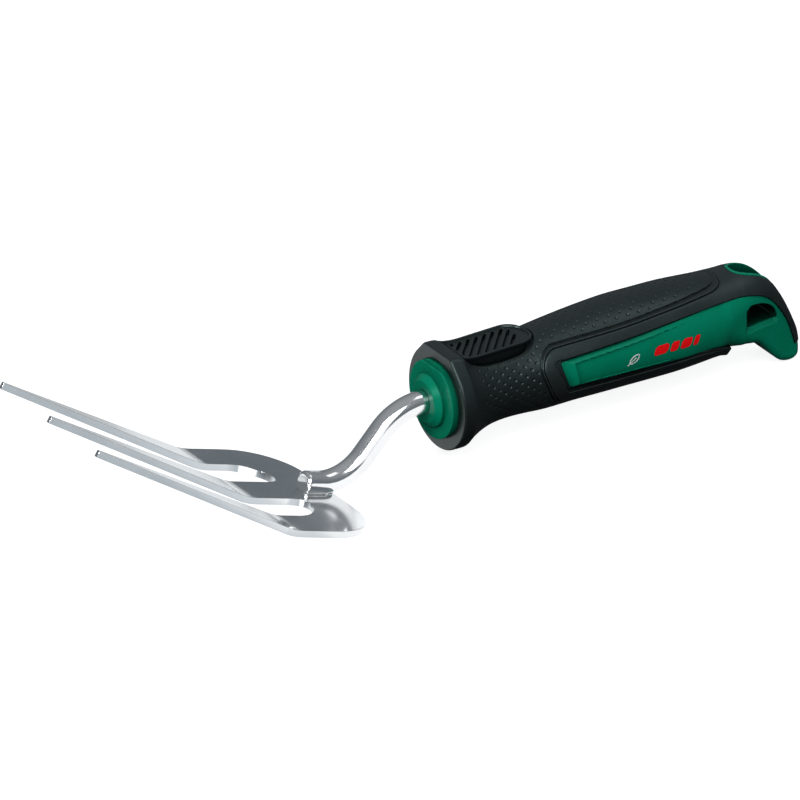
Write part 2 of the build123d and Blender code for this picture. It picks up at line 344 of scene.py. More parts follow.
hole_side = densify([(124.9, 0.8), (124.9, 8.0), (126.2, 9.45), (131.3, 8.8), (135.2, 7.0), (137.7, 4.4), (138.6, 1.6), (138.2, 0.8)], 4, keep=(0, 1, 7))
flare_side = densify([(124.0, -0.9), (124.0, 8.0), (126.2, 9.5), (131.3, 8.85), (135.2, 7.05), (137.8, 4.45), (139.2, 1.4), (138.4, -0.9)], 4, keep=(0, 1, 7))
HALF_X = [95, 112.0, 117.6, 122.0, 127.0, 132.0, 138.0, 144.0, 152.0]
HALF_Y = [15.6, 15.4, 14.9, 14.0, 12.9, 11.8, 10.5, 9.2, 7.8]
POCKET = 132.3


def tube(F, grow=0.0):
    """Round part of the body, with the front flange's raised flat top."""
    R, dR = curve(ST_X, ST_R, F.x)
    W, _ = curve(ST_X, ST_W, F.x)
    w = F.z - W
    rad = np.hypot(F.y, w)
    d = rad - R
    ay = np.abs(F.y)
    c, s_ = math.cos(math.radians(44.3)), math.sin(math.radians(44.3))
    top, _ = curve(PAD_X, PAD_Z, F.x)
    wedge = ay * c + w * s_ - R
    hull = rmax(wedge, w - top + 0.0 * R, 1.0)
    hull = np.where(w * c > ay * s_, hull, d)
    k = 1 - smooth(10.2, 15.0, F.x)
    d = d * (1 - k) + np.maximum(hull, d - 3) * k
    return d / np.sqrt(1 + dR * dR)


def rear(F, inset=0.0):
    a = F.poly("rear_side", rear_side) if inset == 0 else F.poly("core_side", core_side)
    hw = lerp(HALF_X, HALF_Y, F.X) - inset
    dw = (HALF_Y[-1] - HALF_Y[3]) / (HALF_X[-1] - HALF_X[3])
    b = (np.abs(F.y) - hw) / math.sqrt(1 + dw * dw)
    # rounding: generous on the arch, tight on the legs
    up = lerp([95, 112, 117.6, 122, 127, 132, 138, 144, 150], [15.6, 15.3, 14.9, 14.0, 12.0, 9.6, 7.2, 5.4, 4.2], F.X)
    lowr = lerp([95, 112, 117, 121, 124, 128, 133, 140, 150], [15.6, 15.3, 14.2, 10.5, 6.5, 4.2, 3.0, 2.6, 3.0], F.X)
    mid = lerp([95, 118, 124, 130, 140, 150], [4.4, 4.4, 4.0, 0.0, -8.0, -13.5], F.X)
    t = smooth(-5.0, 4.0, F.Z - mid)
    r = lowr + (up - lowr) * t
    r = np.minimum(r, np.maximum(hw - 0.3, 1.0))
    return rmax(a, b, r)


def outer(F, inset=0.0):
    t = tube(F) + inset
    if np.max(F.x) < 109.5:
        return t
    k = smooth(109.5, 121.0, F.x)
    return t * (1 - k) + rear(F, inset) * k


def inner(F):
    """Surface of the hard core under the soft skin."""
    d = outer(F) + 2.6
    return np.maximum(d, 9.0 - F.x)


def ellipse(F, rx, ry, p=2.4):
    q = (np.abs((F.x - POCKET) / rx) ** p + np.abs(F.y / ry) ** p) ** (1 / p)
    return (q - 1) * min(rx, ry)


def pad_outline(x, y, grow=0.0):
    """Thumb pad from above: straight sides, round back end."""
    r = 7.7
    cx = 42.6 - r
    dx = np.maximum(x - cx, 0)
    ay = np.maximum(np.abs(y) - (8.1 - r), 0)
    d = np.hypot(dx, ay) - r
    return d - grow


PAD_X = [5.0, 8.0, 10.0, 12.3, 15.0, 18.0, 24.0, 32.0, 38.0, 41.0, 42.6, 44.0]
PAD_Z = [18.12, 18.08, 17.75, 16.95, 16.5, 16.35, 16.6, 16.95, 17.15, 17.0, 16.6, 16.2]


def dimples(F, d):
    """Shallow round pits in staggered rows."""
    W, _ = curve(ST_X, ST_W, F.x)
    w = F.z - W
    rad = np.maximum(np.hypot(F.y, w), 8.0)
    th = np.degrees(np.arctan2(w, F.y)) / (360.0 / 52)
    j = np.round(th)
    u = F.x / 4.55 + 0.5 * np.mod(j, 2)
    du = (u - np.round(u)) * 4.55
    dv = (th - j) * math.radians(360.0 / 52) * rad
    q = (du * du + dv * dv) / (0.66 * 0.66)
    return 0.30 * np.clip(1 - q, 0, 1) ** 1.3


def f_soft(F):
    d = outer(F)
    fr = F.poly("frame", frame_side)
    x = F.x
    pad = pad_outline(x, F.y)
    upper = F.z > 6
    padz = np.where(upper, pad, 9.0)
    mask = smooth(15.2, 16.4, x) * smooth(1.9, 2.5, fr) * smooth(0.9, 1.5, padz)
    s = d + dimples(F, d) * mask
    g = np.abs(fr - 1.15)                                  # groove inside the lip
    s = s + 0.62 * np.clip(1 - (g / 0.46) ** 2, 0, 1)
    s = rmax(s, -(fr - 0.24), 0.26)                        # edge at the meeting line
    # moat and seat of the thumb pad
    over = smooth(11.0, 13.5, x)
    seat = np.maximum(np.maximum(padz - 0.02 - 0.42 * over, 11.0 - x), -(d + 1.55))
    s = rmax(s, -seat, 0.32)
    # front face and bore
    s = rmax(s, 5.5 - x, 0.75)
    bore = np.maximum(np.hypot(F.y, F.z) - 14.25, x - 9.0)
    s = rmax(s, -bore, 0.12)
    # hollow for the hard core
    return np.maximum(s, -np.maximum(d + 2.6, 9.0 - x))


def f_frame(F):
    d = outer(F)
    fr = F.poly("frame", frame_side)
    gr = F.poly("green", green_side)
    rc = F.poly("recess", recess_side)
    s = rmax(d, fr + 0.02, 0.30)
    # sunk border round the side panel
    k = smooth(92.0, 119.0, F.X)
    pit = np.maximum(rc, -(d + 1.5 - 1.5 * k))
    s = rmax(s, -pit, 0.45)
    s = np.maximum(s, -(d + 2.58))
    # window for the green side panel and hook
    s = rmax(s, -(gr - 0.10), 0.45 * smooth(108.0, 120.0, F.X) + 0.08)
    e = ellipse(F, 8.75, 6.05)
    s = np.where(F.z > 8, rmax(s, -e, 0.35), s)
    return s


def panel_face(F):
    """Distance by which the green side surface lies under the body's outer surface."""
    X, Z = F.X, F.Z
    front = -seg((49.3, 8.2), (51.7, -2.4), X, Z) * -1.0
    top = -seg((49.8, 8.2), (100.3, 12.7), X, Z)
    low = seg((51.2, -2.35), (110.0, -2.2), X, Z)
    fw, tw, lw = 2.9, 1.35, 1.25
    c = np.minimum(np.minimum(front / fw, top / tw), low / lw)
    fade = 1 - smooth(72.0, 102.0, X)
    border = 1.35 * np.clip(1 - c, 0, 1.2)
    step = 0.85 * smooth(1.02, 1.15, c)
    bev = (border + step) * fade
    plain = 0.9 * smooth(76.0, 114.0, X)
    return bev + plain


def f_core(F):
    d = outer(F)
    gr = F.poly("green", green_side)
    hole = F.poly("hole", hole_side)
    side = panel_face(F)
    # the arch and the leg: full profile in side view, a little narrower than the strap
    k = smooth(112.0, 121.0, F.x)
    flat = d + side
    arch = rear(F, 0.9) if np.max(F.x) > 109 else flat
    g = flat * (1 - k) + arch * k
    g = rmax(g, gr + 0.02, 0.22)
    s = np.minimum(g, inner(F))
    rim = np.maximum(np.maximum(d + 0.05, ellipse(F, 8.6, 5.9)), 8.0 - F.z)
    s = np.minimum(s, rim)
    # D-shaped opening through the arch, with a broad chamfer on its sill
    ay = np.abs(F.y)
    depth = lerp(HALF_X, HALF_Y, F.X) - 0.9 - ay
    s = rmax(s, -hole, 0.22)
    flare = F.poly("flare", flare_side)                    # widened outline at the outer faces
    cut = np.maximum(flare + np.maximum(depth, 0.0) * 1.0, depth - 1.9)
    s = np.maximum(s, -cut)
    # top pocket
    pk = np.maximum(ellipse(F, 7.2, 4.65), 10.6 - F.z)
    s = rmax(s, -pk, 0.35)
    # slot in the front of the leg
    nx, nz = 0.70, 0.714
    along = (F.z + 8.6) * -nz + (F.x - 131.6) * nx
    into = -((F.x - 131.6) * -nz + (F.z + 8.2) * -nx)
    slot = np.maximum(np.maximum(ay - 5.6, np.abs(along - 5.2) - 5.0), into - 3.2)
    s = rmax(s, -slot, 0.3)
    s = np.maximum(s, -(np.hypot(F.y, F.z) - 4.28) - 50 * (F.x > 84.2))
    return np.maximum(s, 9.0 - F.x)


def f_pad(F):
    x, y, z = F.x, F.y, F.z
    ztop, dz = curve(PAD_X, PAD_Z, x)
    pad = pad_outline(x, y)
    top = (z - ztop) / np.sqrt(1 + dz * dz)
    # raised rim round a slightly sunk face
    face = 0.62 * smooth(0.95, 1.35, -pad) * smooth(10.5, 13.5, x)
    h0 = np.array([10.4, 13.75, 17.1, 20.45, 23.8, 27.1, 30.5, 33.9, 37.2])
    best = np.full(np.broadcast(x, y).shape, 9.0)
    for h in h0:
        c = np.abs(x - h - 0.83 * y) / math.hypot(1, 0.83)
        best = np.minimum(best, c)
    clip = np.maximum(np.maximum(13.9 - x, x - 37.2), np.abs(y) - 6.0)
    cut = rmax(best - 0.52, clip, 0.3)
    face = face + 1.35 * smooth(0.12, -0.18, cut)
    s = rmax(top + face, pad, 0.28)
    # undercut side wall, standing on the floor of its seat
    under = pad + 1.25 * smooth(0.8, 1.4, ztop - z)
    s = np.maximum(s, under)
    s = np.maximum(s, 11.05 - x)
    return np.maximum(np.maximum(s, -(tube(F) + 1.5)), 9.5 - z)


def f_collar(F):
    x = F.x
    r = np.hypot(F.y, F.z)
    disc = rmax(r - 14.2, np.minimum(F.z - 12.7, 50.0) - np.maximum(x - 4.3, 0) * 8.0, 0.2)
    disc = rmax(disc, 3.1 - x, 0.28)
    cone = rmax(r - 9.6, (r - 7.5 - 1.15 * x) * 0.656, 0.14)
    cone = rmax(cone, 0.0 - x, 0.14)
    s = rmin(disc, np.maximum(cone, x - 4.0), 0.15)
    s = np.maximum(s, x - 9.0)
    return rmax(s, -(r - 4.27), 0.18)


# ------------------------------------------------------------------ materials
def lin(h):
    h = h.lstrip("#")
    c = [int(h[i:i + 2], 16) / 255 for i in (0, 2, 4)]
    return tuple(v / 12.92 if v < 0.04045 else ((v + 0.055) / 1.055) ** 2.4 for v in c) + (1,)


class Mat:
    def __init__(self, name):
        self.m = bpy.data.materials.new(name)
        self.m.use_nodes = True
        self.t = self.m.node_tree
        self.t.nodes.clear()
        self.out = self.add("ShaderNodeOutputMaterial")
        self.b = self.add("ShaderNodeBsdfPrincipled")
        self.link(self.b.outputs[0], self.out.inputs[0])
        self.geo = self.add("ShaderNodeNewGeometry")
        self.co = self.add("ShaderNodeAttribute")
        self.co.attribute_name = "handle_mm"

    def add(self, kind, **kw):
        n = self.t.nodes.new(kind)
        for k, v in kw.items():
            setattr(n, k, v)
        return n

    def link(self, a, b):
        self.t.links.new(a, b)

    def noise(self, scale, detail=3.0, rough=0.5, vec=None, dist=0.0):
        n = self.add("ShaderNodeTexNoise")
        n.inputs["Scale"].default_value = scale
        n.inputs["Detail"].default_value = detail
        n.inputs["Roughness"].default_value = rough
        n.inputs["Distortion"].default_value = dist
        self.link(vec or self.co.outputs["Vector"], n.inputs["Vector"])
        return n.outputs["Fac"]

    def ramp(self, fac, stops):
        n = self.add("ShaderNodeValToRGB")
        r = n.color_ramp
        while len(r.elements) < len(stops):
            r.elements.new(0.5)
        for e, (p, c) in zip(r.elements, stops):
            e.position = p
            e.color = c if isinstance(c, tuple) else (c, c, c, 1)
        self.link(fac, n.inputs["Fac"])
        return n.outputs["Color"]

    def remap(self, fac, a, b, c, d):
        n = self.add("ShaderNodeMapRange")
        n.inputs["From Min"].default_value = a
        n.inputs["From Max"].default_value = b
        n.inputs["To Min"].default_value = c
        n.inputs["To Max"].default_value = d
        self.link(fac, n.inputs["Value"])
        return n.outputs["Result"]

    def math(self, op, a, b=None):
        n = self.add("ShaderNodeMath", operation=op)
        for i, v in enumerate((a, b)):
            if v is None:
                continue
            if isinstance(v, (int, float)):
                n.inputs[i].default_value = v
            else:
                self.link(v, n.inputs[i])
        return n.outputs[0]

    def mix(self, fac, a, b):
        n = self.add("ShaderNodeMix", data_type="RGBA")
        self.link(fac, n.inputs["Factor"])
        for s, v in (("A", a), ("B", b)):
            k = [i for i in n.inputs if i.name == s and i.type == "RGBA"][0]
            if isinstance(v, tuple):
                k.default_value = v
            else:
                self.link(v, k)
        return [o for o in n.outputs if o.type == "RGBA"][0]

    def bump(self, height, strength, distance, normal=None):
        n = self.add("ShaderNodeBump")
        n.inputs["Strength"].default_value = strength
        n.inputs["Distance"].default_value = distance
        self.link(height, n.inputs["Height"])
        if normal:
            self.link(normal, n.inputs["Normal"])
        return n.outputs["Normal"]

    def stretch(self, sx, sy, sz):
        n = self.add("ShaderNodeMapping")
        n.inputs["Scale"].default_value = (sx, sy, sz)
        self.link(self.co.outputs["Vector"], n.inputs["Vector"])
        return n.outputs["Vector"]


def painted_recess_shade(m, col, low, reach):
    """Painted shade: the base colour is darkened in recesses and hollows by ambient occlusion, standing in for the
    shade that falls there.
    """
    ao = m.add("ShaderNodeAmbientOcclusion")
    ao.samples = 6
    ao.inputs["Distance"].default_value = reach
    k = m.remap(ao.outputs["AO"], 0.25, 0.95, low, 1.0)
    n = m.add("ShaderNodeMix", data_type="RGBA", blend_type="MULTIPLY")
    n.inputs["Factor"].default_value = 1.0
    a = [i for i in n.inputs if i.type == "RGBA"]
    m.link(col, a[0])
    m.link(k, a[1])
    return [o for o in n.outputs if o.type == "RGBA"][0]


def rubber(name, base, rough, grain, spec=0.35, dusty=0.0):
    m = Mat(name)
    big = m.noise(0.12, 3, 0.55)
    fine = m.noise(5.5, 4, 0.6)
    tiny = m.noise(16.0, 2, 0.5)
    c0 = tuple(v * 0.88 for v in base[:3]) + (1,)
    c1 = tuple(min(1, v * 1.14 + dusty) for v in base[:3]) + (1,)
    col = m.mix(m.remap(big, 0.3, 0.7, 0, 1), c0, c1)
    # rubbed edges a touch lighter
    edge = m.remap(m.geo.outputs["Pointiness"], 0.505, 0.56, 0, 1)
    wear = m.math("MULTIPLY", edge, m.remap(m.noise(0.8, 3, 0.6), 0.35, 0.7, 0.25, 0.9))
    col = m.mix(wear, col, tuple(min(1, v * 1.9 + 0.006) for v in base[:3]) + (1,))
    # painted shade: the rubber's base colour is darkened in the recesses
    m.link(painted_recess_shade(m, col, 0.35, 0.004), m.b.inputs["Base Color"])
    r = m.math("ADD", m.remap(big, 0.25, 0.75, rough - 0.05, rough + 0.05), m.remap(fine, 0.3, 0.7, -0.04, 0.04))
    m.link(r, m.b.inputs["Roughness"])
    m.b.inputs["Specular IOR Level"].default_value = spec
    m.b.inputs["Specular Tint"].default_value = (0.74, 1.0, 0.985, 1)
    n1 = m.bump(tiny, grain, 0.00006)
    n2 = m.bump(fine, grain * 0.8, 0.00012, n1)
    m.link(n2, m.b.inputs["Normal"])
    return m.m


def plastic(name, base, rough):
    m = Mat(name)
    big = m.noise(0.09, 3, 0.5)
    fine = m.noise(7.0, 4, 0.6)
    tiny = m.noise(19.0, 2, 0.5)
    col = m.mix(m.remap(big, 0.3, 0.7, 0, 1), tuple(v * 0.95 for v in base[:3]) + (1,), tuple(v * 1.05 for v in base[:3]) + (1,))
    edge = m.remap(m.geo.outputs["Pointiness"], 0.51, 0.58, 0, 1)
    wear = m.math("MULTIPLY", edge, m.remap(m.noise(0.7, 3, 0.6), 0.4, 0.7, 0.05, 0.5))
    col = m.mix(wear, col, tuple(min(1, v * 1.25 + 0.02) for v in base[:3]) + (1,))
    # painted shade: the green's base colour is strongly darkened in recesses and the hanging hole
    m.link(painted_recess_shade(m, col, 0.03, 0.018), m.b.inputs["Base Color"])
    r = m.math("ADD", m.remap(big, 0.25, 0.75, rough - 0.03, rough + 0.04), m.remap(fine, 0.3, 0.7, -0.03, 0.03))
    m.link(r, m.b.inputs["Roughness"])
    m.b.inputs["Specular IOR Level"].default_value = 0.22
    m.b.inputs["Specular Tint"].default_value = (0.30, 1.0, 0.80, 1)
    n1 = m.bump(tiny, 0.22, 0.00004)
    n2 = m.bump(fine, 0.16, 0.00008, n1)
    m.link(n2, m.b.inputs["Normal"])
    return m.m


def steel(name, tint, rough, brushed=0.0, weld=False):
    m = Mat(name)
    big = m.noise(0.06, 3, 0.5)
    fine = m.noise(2.2, 4, 0.6)
    # fine polishing lines along the piece and a few handling scratches across them
    lines = m.noise(1.0, 3, 0.6, vec=m.stretch(0.25, 7.0, 7.0))
    cross = m.noise(1.0, 2, 0.5, vec=m.stretch(3.2, 0.16, 1.1), dist=0.4)
    scratch = m.ramp(cross, [(0.0, 0.0), (0.72, 0.0), (0.80, 1.0)])
    c0 = tuple(v * 0.95 for v in tint) + (1,)
    c1 = tuple(min(1, v * 1.03) for v in tint) + (1,)
    col = m.mix(m.remap(big, 0.3, 0.7, 0, 1), c0, c1)
    if weld:
        heat = m.noise(0.5, 2, 0.5)
        col = m.mix(m.remap(heat, 0.4, 0.8, 0, 0.55), col, (0.50, 0.47, 0.43, 1))
    m.link(col, m.b.inputs["Base Color"])
    m.b.inputs["Metallic"].default_value = 1.0
    r = m.math("ADD", m.remap(big, 0.25, 0.75, rough - 0.015, rough + 0.03), m.remap(fine, 0.3, 0.7, -0.012, 0.02))
    r = m.math("ADD", r, m.math("MULTIPLY", scratch, 0.06))
    m.link(r, m.b.inputs["Roughness"])
    n1 = m.bump(lines, 0.05 + brushed, 0.00002)
    n2 = m.bump(fine, 0.5 if weld else 0.035, 0.00020 if weld else 0.00003, n1)
    m.link(n2, m.b.inputs["Normal"])
    return m.m


def paint(name, base, rough=0.42):
    m = Mat(name)
    big = m.noise(0.5, 3, 0.5)
    fine = m.noise(9.0, 3, 0.6)
    col = m.mix(m.remap(big, 0.3, 0.7, 0, 1), tuple(v * 0.94 for v in base[:3]) + (1,), tuple(min(1, v * 1.04) for v in base[:3]) + (1,))
    m.link(col, m.b.inputs["Base Color"])
    m.link(m.remap(fine, 0.3, 0.7, rough - 0.05, rough + 0.06), m.b.inputs["Roughness"])
    m.b.inputs["Specular IOR Level"].default_value = 0.35
    m.link(m.bump(fine, 0.12, 0.00003), m.b.inputs["Normal"])
    return m.m


GREEN = plastic("moulded_green", (0.0004, 0.205, 0.112, 1), 0.31)
GREEN_IN = plastic("moulded_green_collar", (0.0004, 0.210, 0.115, 1), 0.31)
SMOOTH = rubber("smooth_rubber_black", (0.0115, 0.0148, 0.0150, 1), 0.36, 0.16, 0.5)
DOTTED = rubber("dotted_rubber_black", (0.0096, 0.0126, 0.0127, 1), 0.31, 0.18, 0.5)
PADM = rubber("thumb_rubber_black", (0.0055, 0.0074, 0.0074, 1), 0.27, 0.12, 0.5)
STEEL = steel("polished_steel_head", (0.80, 0.815, 0.83), 0.12)
STEEL_ROD = steel("polished_steel_rod", (0.83, 0.84, 0.85), 0.11)
STEEL_WELD = steel("weld_steel_bead", (0.72, 0.73, 0.74), 0.20, weld=True)
RED = paint("print_red", (0.96, 0.004, 0.006, 1))
WHITE = paint("print_white", (0.80, 0.82, 0.82, 1))


# ------------------------------------------------------------------ handle pieces
def build(name, field, lo, hi, h, mat, node, eps=0.06):
    v, q, n = net(field, lo, hi, h * FINE, eps=eps)
    ob = mesh_piece(name, v, q, n, mat)
    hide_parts(node)
    return ob



build("dotted_grip", f_soft, (5.4, -20, -19.5), (121, 20, 21), 0.27, DOTTED, "soft_grip")
build("smooth_frame", f_frame, (40.5, -17, -13.5), (151, 17, 21), 0.28, SMOOTH, "grip_frame")
core = build("green_core", f_core, (8.9, -17, -19), (151, 17, 21), 0.29, GREEN, "handle_core")
build("front_disc", f_collar, (0.0, -14.5, -14.5), (9.2, 14.5, 13.2), 0.22, GREEN_IN, "front_collar")
build("thumb_pad", f_pad, (8.4, -8.4, 9.6), (43, 8.4, 18.6), 0.17, PADM, "thumb_rest")


# ------------------------------------------------------------------ steel head
SHEET, BEND_X, BEND_R, BEND = 2.5, 38.8, 26.75, math.radians(16.8)
PX, PZ, PA = -37.6, -24.7, math.radians(15.3)
HX, HH, HR = 20.6, 17.5, 20.6
T_LEN = 88.8
bx = -BEND_X + BEND_R * math.tan(BEND / 2)
tip = (-BEND_X - T_LEN * math.cos(BEND), T_LEN * math.sin(BEND))


def plate_to_handle(p):
    """Plate frame (x back, y across, z up from the top face) to the handle frame."""
    p = np.asarray(p, float)
    q = np.empty_like(p)
    q[..., 0] = p[..., 0] * math.cos(PA) + p[..., 2] * math.sin(PA) + PX
    q[..., 1] = p[..., 1]
    q[..., 2] = -p[..., 0] * math.sin(PA) + p[..., 2] * math.cos(PA) + PZ
    return q


def develop(x):
    """Plan position to length along the sheet."""
    end = bx - BEND_R * math.sin(BEND)
    if x >= bx:
        return x
    if x >= end:
        return bx - BEND_R * math.asin((bx - x) / BEND_R)
    return bx - BEND_R * BEND + (x - end) / math.cos(BEND)


def fold(s, y, n):
    """Length along the sheet, width, height over the top face, to the plate frame."""
    s, y, n = np.asarray(s, float), np.asarray(y, float), np.asarray(n, float)
    s1 = bx - BEND_R * BEND
    ang = np.clip((bx - s) / BEND_R, 0, BEND)
    over = np.maximum(s1 - s, 0)
    x = np.where(s > bx, s, bx - BEND_R * np.sin(ang) - over * math.cos(BEND))
    z = np.where(s > bx, 0, BEND_R * (1 - np.cos(ang)) + over * math.sin(BEND))
    return np.stack([x + np.sin(ang) * n, y, z + np.cos(ang) * n], -1)


def spline(pts, n):
    p = np.asarray(pts, float)
    k = np.r_[0, np.cumsum(np.linalg.norm(np.diff(p, axis=0), axis=1))]
    q = np.linspace(0, k[-1], n)
    return np.stack([curve(k, p[:, i], q)[0] for i in range(2)], 1)


def head_outline():
    L = tip[0] - 5
    tk = lambda a, b, x: a + (b - a) * (x + 42.0) / (tip[0] + 42.0)
    hw = 38.2
    xt = tip[0]
    half = []   # +y side, from the middle of the rear edge round to the middle tine's tip
    half.append((0.0, 0.0))
    half.append((0.0, HH - 4))
    for i in range(0, 25):
        a = math.radians(90 * i / 24)
        half.append((-HR * (1 - math.cos(a)), HH + HR * math.sin(a)))
    half += [(-24.0, hw), (-30.0, hw), (-36.0, hw), (-42.0, hw)]
    half.append((xt, 31.5 + 0.8))
    half.append((xt, 31.5 - 0.8))
    half.append((-42.0, 23.8))
    half.append((-34.0, 23.75))
    eye = spline([(-30.0, 23.72), (-27.0, 23.6), (-23.5, 22.5), (-20.0, 19.8), (-17.2, 16.0), (-16.0, 12.2), (-17.3, 9.1), (-21.5, 7.75), (-24.0, 7.7)], 34)
    half += [tuple(p) for p in eye]
    half.append((-34.0, 7.7))
    half.append((-42.0, 7.7))
    half.append((xt, 0.8))
    return half


def make_head():
    half = head_outline()
    ring = half + [(x, -y) for x, y in reversed(half[1:])]
    bm = bmesh.new()
    vs = [bm.verts.new((develop(x), y, 0)) for x, y in ring]
    f = bm.faces.new(vs)
    f.normal_update()
    if f.normal.z < 0:
        f.normal_flip()
    ext = bmesh.ops.extrude_face_region(bm, geom=[f])
    down = [g for g in ext["geom"] if isinstance(g, bmesh.types.BMVert)]
    bmesh.ops.translate(bm, verts=down, vec=(0, 0, -SHEET))
    bmesh.ops.recalc_face_normals(bm, faces=bm.faces)
    rims = [e for e in bm.edges if abs(e.verts[0].co.z - e.verts[1].co.z) < 1e-6]
    rims = [e for e in rims if len(e.link_faces) == 2 and abs(e.link_faces[0].normal.z - e.link_faces[1].normal.z) > 0.5]
    rims += [e for e in bm.edges if len(e.link_faces) == 2 and abs(e.verts[0].co.z - e.verts[1].co.z) > 1 and e.calc_face_angle(0) > 0.5]
    bmesh.ops.bevel(bm, geom=rims, offset=0.14, offset_type="OFFSET", segments=3, profile=0.5, affect="EDGES", clamp_overlap=True)
    s1 = bx - BEND_R * BEND
    cuts = [bx + (s1 - bx) * i / 14 for i in range(15)] + [-8.0, -16.0, -24.0]
    cuts += [s1 - 9 * i for i in range(1, 10)]
    for c in cuts:
        bmesh.ops.bisect_plane(bm, geom=bm.verts[:] + bm.edges[:] + bm.faces[:], plane_co=(c, 0, 0), plane_no=(1, 0, 0), dist=1e-5)
    bmesh.ops.triangulate(bm, faces=[q for q in bm.faces if len(q.verts) > 4], ngon_method="EAR_CLIP")
    co = np.array([v.co[:] for v in bm.verts])
    out = world(plate_to_handle(fold(co[:, 0], co[:, 1], co[:, 2])))
    hm = plate_to_handle(fold(co[:, 0], co[:, 1], co[:, 2]))
    for v, p in zip(bm.verts, out):
        v.co = p
    me = bpy.data.meshes.new("fork_plate")
    bm.to_mesh(me)
    bm.free()
    me.validate()
    me.polygons.foreach_set("use_smooth", np.ones(len(me.polygons), bool))
    at = me.attributes.new("handle_mm", "FLOAT_VECTOR", "POINT")
    at.data.foreach_set("vector", hm.astype(np.float32).ravel())
    ob = bpy.data.objects.new("fork_plate", me)
    bpy.context.scene.collection.objects.link(ob)
    mod = ob.modifiers.new("wn", "WEIGHTED_NORMAL")
    mod.weight = 50
    mod.mode = "FACE_AREA"
    mod.keep_sharp = False
    dg = bpy.context.evaluated_depsgraph_get()
    fixed = bpy.data.meshes.new_from_object(ob.evaluated_get(dg), preserve_all_data_layers=True, depsgraph=dg)
    ob.modifiers.clear()
    ob.data = fixed
    ob.data.name = "fork_plate_mesh"
    ob.data.materials.append(STEEL)
    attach(ob, "root")
    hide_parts("fork_head")
    return ob


make_head()


# ------------------------------------------------------------------ tang rod
def rod_line():
    pts = [(-49.0, -18.5), (-32.4, -23.0), (-10.9, 0.0), (84.0, 0.0)]
    rad = [19.0, 22.0]
    p = [np.array(q) for q in pts]
    out = [p[0]]
    for i, r in ((1, rad[0]), (2, rad[1])):
        a = (p[i - 1] - p[i]) / np.linalg.norm(p[i - 1] - p[i])
        b = (p[i + 1] - p[i]) / np.linalg.norm(p[i + 1] - p[i])
        half = math.acos(np.clip(a @ b, -1, 1)) / 2
        t = r / math.tan(half)
        m = (a + b) / np.linalg.norm(a + b)
        c = p[i] + m * (r / math.sin(half))
        s0, s1 = p[i] + a * t, p[i] + b * t
        a0 = math.atan2(*(s0 - c)[::-1])
        a1 = math.atan2(*(s1 - c)[::-1])
        da = (a1 - a0 + math.pi) % (2 * math.pi) - math.pi
        k = 40
        for j in range(k + 1):
            an = a0 + da * j / k
            out.append(c + r * np.array([math.cos(an), math.sin(an)]))
    out.append(p[3])
    # even steps
    q = np.array(out)
    L = np.r_[0, np.cumsum(np.linalg.norm(np.diff(q, axis=0), axis=1))]
    keep = np.r_[True, np.diff(L) > 1e-6]
    q, L = q[keep], L[keep]
    s = np.r_[np.linspace(0, L[-1] - 70, 150), np.linspace(L[-1] - 69, L[-1], 10)]
    return np.stack([np.interp(s, L, q[:, 0]), np.interp(s, L, q[:, 1])], 1), s, L[-1]


